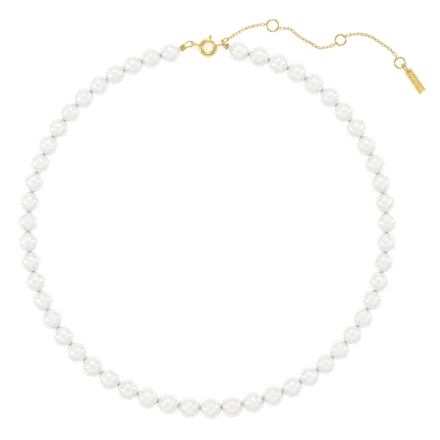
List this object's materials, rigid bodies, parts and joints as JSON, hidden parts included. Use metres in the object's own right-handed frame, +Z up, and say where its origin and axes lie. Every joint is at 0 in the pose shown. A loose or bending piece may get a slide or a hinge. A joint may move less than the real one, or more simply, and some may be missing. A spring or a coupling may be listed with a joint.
{
  "type": "pearl necklace",
  "caption": "Graded strand of round drilled pearls on one thread, closed by a bolt ring clasp, with a fine cable chain extender that carries spaced rings and a small oblong tag.",
  "frame": {"origin": "middle of the bounding box seen from above, on the table the necklace lies on", "axes": "+Z up from the table, +Y from the front pearl towards the clasp, +X along the extender side"},
  "size_m": [0.1206, 0.1182, 0.0066],
  "materials": {
    "pearl": "pearl lustre, soft gloss",
    "gold": "polished light yellow gold plate",
    "thread": "twisted silk",
    "spring": "bright wire"
  },
  "bodies": {
    "front": {"pearl_front": "pearl", "thread": "thread"},
    "strand_left_1": {"pearls_left_1": "pearl"},
    "strand_left_2": {"pearls_left_2": "pearl"},
    "strand_left_3": {"pearls_left_3": "pearl"},
    "strand_left_4": {"pearls_left_4": "pearl"},
    "strand_left_5": {"pearls_left_5": "pearl"},
    "strand_left_6": {"pearls_left_6": "pearl"},
    "strand_left_7": {"pearls_left_7": "pearl"},
    "strand_left_8": {"pearls_left_8": "pearl"},
    "strand_left_9": {"pearls_left_9": "pearl"},
    "strand_left_10": {"pearls_left_10": "pearl"},
    "strand_left_11": {"pearls_left_11": "pearl"},
    "strand_left_12": {"pearls_left_12": "pearl"},
    "strand_left_13": {"pearls_left_13": "pearl"},
    "strand_right_1": {"pearls_right_1": "pearl"},
    "strand_right_2": {"pearls_right_2": "pearl"},
    "strand_right_3": {"pearls_right_3": "pearl"},
    "strand_right_4": {"pearls_right_4": "pearl"},
    "strand_right_5": {"pearls_right_5": "pearl"},
    "strand_right_6": {"pearls_right_6": "pearl"},
    "strand_right_7": {"pearls_right_7": "pearl"},
    "strand_right_8": {"pearls_right_8": "pearl"},
    "strand_right_9": {"pearls_right_9": "pearl"},
    "strand_right_10": {"pearls_right_10": "pearl"},
    "strand_right_11": {"pearls_right_11": "pearl"},
    "strand_right_12": {"pearls_right_12": "pearl"},
    "strand_right_13": {"pearls_right_13": "pearl"},
    "left_end": {"wire_end_left": "gold"},
    "clasp": {"clasp_ring": "gold", "clasp_spring": "spring"},
    "bolt": {"clasp_bolt": "gold"},
    "right_end": {"wire_end_right": "gold"},
    "hook": {"hook_link": "gold"},
    "chain_start": {"chain_start_link": "gold"},
    "chain_a1": {"chain_first_1": "gold"},
    "chain_a2": {"chain_first_2": "gold"},
    "chain_a3": {"chain_first_3": "gold"},
    "chain_a4": {"chain_first_4": "gold"},
    "ring_1": {"extender_ring_1": "gold"},
    "chain_b1": {"chain_second_1": "gold"},
    "chain_b2": {"chain_second_2": "gold"},
    "chain_b3": {"chain_second_3": "gold"},
    "chain_b4": {"chain_second_4": "gold"},
    "chain_b5": {"chain_second_5": "gold"},
    "chain_b6": {"chain_second_6": "gold"},
    "ring_2": {"extender_ring_2": "gold"},
    "chain_c1": {"chain_third_1": "gold"},
    "chain_c2": {"chain_third_2": "gold"},
    "chain_c3": {"chain_third_3": "gold"},
    "chain_c4": {"chain_third_4": "gold"},
    "chain_c5": {"chain_third_5": "gold"},
    "ring_3": {"extender_ring_3": "gold"},
    "tag_ring": {"tag_link": "gold"},
    "tag": {"tag": "gold"}
  },
  "joints": [
    {"name": "bolt_slide", "type": "hinge", "parent": "clasp", "child": "bolt", "pos_m": [-0.00414, 0.05056, 0.00125], "axis": [0, 0, 1], "range_deg": [0, 52], "stiffness_Nm_per_rad": 0.0004, "springref_deg": -28.65, "deforming": ["clasp_spring"]},
    {"name": "clasp_swing", "type": "hinge", "parent": "left_end", "child": "clasp", "pos_m": [-0.00909, 0.05179, 0.00125], "axis": [0, 0, 1], "range_deg": [-8, 25]},
    {"name": "hook_swing", "type": "hinge", "parent": "right_end", "child": "hook", "pos_m": [0.00037, 0.05143, 0.00122], "axis": [0, 0, 1], "range_deg": [-15, 15]},
    {"name": "extender_swing", "type": "hinge", "parent": "right_end", "child": "chain_start", "pos_m": [0.00037, 0.05248, 0.0027], "axis": [0, 0, 1], "range_deg": [-12, 20]},
    {"name": "tag_swing", "type": "hinge", "parent": "tag_ring", "child": "tag", "pos_m": [0.05515, 0.04343, 0.00097], "axis": [0, 0, 1], "range_deg": [-15, 15]},
    {"name": "tag_ring_swing", "type": "hinge", "parent": "ring_3", "child": "tag_ring", "pos_m": [0.05361, 0.04533, 0.00073], "axis": [0, 0, -1], "range_deg": [-10, 18]},
    {"name": "left_end_swing", "type": "hinge", "parent": "strand_left_13", "child": "left_end", "pos_m": [-0.01245, 0.04946, 0.00304], "axis": [0, 0, 1], "range_deg": [-10, 10], "deforming": ["thread"]},
    {"name": "right_end_swing", "type": "hinge", "parent": "strand_right_13", "child": "right_end", "pos_m": [0.00209, 0.04969, 0.00311], "axis": [0, 0, -1], "range_deg": [-10, 2], "deforming": ["thread"]},
    {"name": "chain_a1_bend", "type": "hinge", "parent": "chain_start", "child": "chain_a1", "pos_m": [0.0017, 0.05293, 0.0023], "axis": [0, 0, -1], "range_deg": [-9, 12]},
    {"name": "chain_a2_bend", "type": "hinge", "parent": "chain_a1", "child": "chain_a2", "pos_m": [0.00427, 0.0547, 0.00115], "axis": [0, 0, 1], "range_deg": [-18, 18]},
    {"name": "chain_a3_bend", "type": "hinge", "parent": "chain_a2", "child": "chain_a3", "pos_m": [0.00709, 0.05631, 0.00045], "axis": [0, 0, -1], "range_deg": [-20, 20]},
    {"name": "chain_a4_bend", "type": "hinge", "parent": "chain_a3", "child": "chain_a4", "pos_m": [0.01028, 0.05722, 0.00051], "axis": [0, 0, 1], "range_deg": [-20, 20]},
    {"name": "ring_1_bend", "type": "hinge", "parent": "chain_a4", "child": "ring_1", "pos_m": [0.01358, 0.05761, 0.00056], "axis": [0, 0, -1], "range_deg": [-20, 20]},
    {"name": "chain_b1_bend", "type": "hinge", "parent": "ring_1", "child": "chain_b1", "pos_m": [0.01616, 0.05632, 0.00056], "axis": [0, 0, 1], "range_deg": [-20, 15]},
    {"name": "chain_b2_bend", "type": "hinge", "parent": "chain_b1", "child": "chain_b2", "pos_m": [0.01949, 0.0563, 0.00051], "axis": [0, 0, -1], "range_deg": [-20, 20]},
    {"name": "chain_b3_bend", "type": "hinge", "parent": "chain_b2", "child": "chain_b3", "pos_m": [0.02217, 0.0544, 0.00045], "axis": [0, 0, 1], "range_deg": [-20, 20]},
    {"name": "chain_b4_bend", "type": "hinge", "parent": "chain_b3", "child": "chain_b4", "pos_m": [0.02497, 0.05261, 0.00045], "axis": [0, 0, -1], "range_deg": [-20, 20]},
    {"name": "chain_b5_bend", "type": "hinge", "parent": "chain_b4", "child": "chain_b5", "pos_m": [0.0278, 0.05088, 0.00045], "axis": [0, 0, 1], "range_deg": [-20, 20]},
    {"name": "chain_b6_bend", "type": "hinge", "parent": "chain_b5", "child": "chain_b6", "pos_m": [0.03105, 0.05072, 0.00051], "axis": [0, 0, -1], "range_deg": [-20, 20]},
    {"name": "ring_2_bend", "type": "hinge", "parent": "chain_b6", "child": "ring_2", "pos_m": [0.03405, 0.05212, 0.00056], "axis": [0, 0, 1], "range_deg": [-20, 20]},
    {"name": "chain_c1_bend", "type": "hinge", "parent": "ring_2", "child": "chain_c1", "pos_m": [0.03586, 0.05388, 0.00056], "axis": [0, 0, -1], "range_deg": [-20, 12]},
    {"name": "chain_c2_bend", "type": "hinge", "parent": "chain_c1", "child": "chain_c2", "pos_m": [0.03911, 0.0546, 0.00051], "axis": [0, 0, 1], "range_deg": [-20, 20]},
    {"name": "chain_c3_bend", "type": "hinge", "parent": "chain_c2", "child": "chain_c3", "pos_m": [0.04242, 0.05439, 0.00045], "axis": [0, 0, -1], "range_deg": [-20, 20]},
    {"name": "chain_c4_bend", "type": "hinge", "parent": "chain_c3", "child": "chain_c4", "pos_m": [0.04635, 0.05241, 0.00045], "axis": [0, 0, 1], "range_deg": [-20, 20]},
    {"name": "chain_c5_bend", "type": "hinge", "parent": "chain_c4", "child": "chain_c5", "pos_m": [0.04912, 0.05056, 0.00045], "axis": [0, 0, -1], "range_deg": [-20, 20]},
    {"name": "ring_3_bend", "type": "hinge", "parent": "chain_c5", "child": "ring_3", "pos_m": [0.05193, 0.04719, 0.00073], "axis": [0, 0, 1], "range_deg": [-20, 20]},
    {"name": "strand_left_1_bend", "type": "hinge", "parent": "front", "child": "strand_left_1", "pos_m": [-0.0065, -0.05588, 0.00331], "axis": [0, 0, 1], "range_deg": [0, 13], "deforming": ["thread"]},
    {"name": "strand_left_2_bend", "type": "hinge", "parent": "strand_left_1", "child": "strand_left_2", "pos_m": [-0.01898, -0.05386, 0.0033], "axis": [0, 0, 1], "range_deg": [0, 13], "deforming": ["thread"]},
    {"name": "strand_left_3_bend", "type": "hinge", "parent": "strand_left_2", "child": "strand_left_3", "pos_m": [-0.03056, -0.04898, 0.00327], "axis": [0, 0, 1], "range_deg": [0, 13], "deforming": ["thread"]},
    {"name": "strand_left_4_bend", "type": "hinge", "parent": "strand_left_3", "child": "strand_left_4", "pos_m": [-0.04058, -0.0416, 0.00324], "axis": [0, 0, 1], "range_deg": [0, 13], "deforming": ["thread"]},
    {"name": "strand_left_5_bend", "type": "hinge", "parent": "strand_left_4", "child": "strand_left_5", "pos_m": [-0.04852, -0.03221, 0.0032], "axis": [0, 0, 1], "range_deg": [0, 13], "deforming": ["thread"]},
    {"name": "strand_left_6_bend", "type": "hinge", "parent": "strand_left_5", "child": "strand_left_6", "pos_m": [-0.05403, -0.02139, 0.00316], "axis": [0, 0, 1], "range_deg": [0, 13], "deforming": ["thread"]},
    {"name": "strand_left_7_bend", "type": "hinge", "parent": "strand_left_6", "child": "strand_left_7", "pos_m": [-0.05691, -0.00976, 0.00312], "axis": [0, 0, 1], "range_deg": [0, 13], "deforming": ["thread"]},
    {"name": "strand_left_8_bend", "type": "hinge", "parent": "strand_left_7", "child": "strand_left_8", "pos_m": [-0.05711, 0.00209, 0.00309], "axis": [0, 0, 1], "range_deg": [0, 13], "deforming": ["thread"]},
    {"name": "strand_left_9_bend", "type": "hinge", "parent": "strand_left_8", "child": "strand_left_9", "pos_m": [-0.05471, 0.0136, 0.00306], "axis": [0, 0, 1], "range_deg": [0, 13], "deforming": ["thread"]},
    {"name": "strand_left_10_bend", "type": "hinge", "parent": "strand_left_9", "child": "strand_left_10", "pos_m": [-0.04987, 0.02423, 0.00305], "axis": [0, 0, 1], "range_deg": [0, 13], "deforming": ["thread"]},
    {"name": "strand_left_11_bend", "type": "hinge", "parent": "strand_left_10", "child": "strand_left_11", "pos_m": [-0.04284, 0.03351, 0.00304], "axis": [0, 0, 1], "range_deg": [0, 13], "deforming": ["thread"]},
    {"name": "strand_left_12_bend", "type": "hinge", "parent": "strand_left_11", "child": "strand_left_12", "pos_m": [-0.03397, 0.04103, 0.00304], "axis": [0, 0, 1], "range_deg": [0, 13], "deforming": ["thread"]},
    {"name": "strand_left_13_bend", "type": "hinge", "parent": "strand_left_12", "child": "strand_left_13", "pos_m": [-0.02368, 0.04643, 0.00304], "axis": [0, 0, 1], "range_deg": [0, 13], "deforming": ["thread"]},
    {"name": "strand_right_1_bend", "type": "hinge", "parent": "front", "child": "strand_right_1", "pos_m": [-0.00016, -0.05575, 0.00331], "axis": [0, 0, -1], "range_deg": [0, 13], "deforming": ["thread"]},
    {"name": "strand_right_2_bend", "type": "hinge", "parent": "strand_right_1", "child": "strand_right_2", "pos_m": [0.01215, -0.05329, 0.00325], "axis": [0, 0, -1], "range_deg": [0, 13], "deforming": ["thread"]},
    {"name": "strand_right_3_bend", "type": "hinge", "parent": "strand_right_2", "child": "strand_right_3", "pos_m": [0.02326, -0.04816, 0.00316], "axis": [0, 0, -1], "range_deg": [0, 13], "deforming": ["thread"]},
    {"name": "strand_right_4_bend", "type": "hinge", "parent": "strand_right_3", "child": "strand_right_4", "pos_m": [0.03267, -0.04084, 0.00309], "axis": [0, 0, -1], "range_deg": [0, 13], "deforming": ["thread"]},
    {"name": "strand_right_5_bend", "type": "hinge", "parent": "strand_right_4", "child": "strand_right_5", "pos_m": [0.04011, -0.03177, 0.00306], "axis": [0, 0, -1], "range_deg": [0, 13], "deforming": ["thread"]},
    {"name": "strand_right_6_bend", "type": "hinge", "parent": "strand_right_5", "child": "strand_right_6", "pos_m": [0.04535, -0.02133, 0.00306], "axis": [0, 0, -1], "range_deg": [0, 13], "deforming": ["thread"]},
    {"name": "strand_right_7_bend", "type": "hinge", "parent": "strand_right_6", "child": "strand_right_7", "pos_m": [0.04818, -0.00997, 0.00307], "axis": [0, 0, -1], "range_deg": [0, 13], "deforming": ["thread"]},
    {"name": "strand_right_8_bend", "type": "hinge", "parent": "strand_right_7", "child": "strand_right_8", "pos_m": [0.04844, 0.00179, 0.00308], "axis": [0, 0, -1], "range_deg": [0, 13], "deforming": ["thread"]},
    {"name": "strand_right_9_bend", "type": "hinge", "parent": "strand_right_8", "child": "strand_right_9", "pos_m": [0.04609, 0.01337, 0.0031], "axis": [0, 0, -1], "range_deg": [0, 13], "deforming": ["thread"]},
    {"name": "strand_right_10_bend", "type": "hinge", "parent": "strand_right_9", "child": "strand_right_10", "pos_m": [0.04119, 0.0242, 0.00312], "axis": [0, 0, -1], "range_deg": [0, 13], "deforming": ["thread"]},
    {"name": "strand_right_11_bend", "type": "hinge", "parent": "strand_right_10", "child": "strand_right_11", "pos_m": [0.03394, 0.03372, 0.00314], "axis": [0, 0, -1], "range_deg": [0, 13], "deforming": ["thread"]},
    {"name": "strand_right_12_bend", "type": "hinge", "parent": "strand_right_11", "child": "strand_right_12", "pos_m": [0.02467, 0.04143, 0.00317], "axis": [0, 0, -1], "range_deg": [0, 13], "deforming": ["thread"]},
    {"name": "strand_right_13_bend", "type": "hinge", "parent": "strand_right_12", "child": "strand_right_13", "pos_m": [0.01381, 0.04687, 0.00319], "axis": [0, 0, -1], "range_deg": [0, 13], "deforming": ["thread"]}
  ]
}
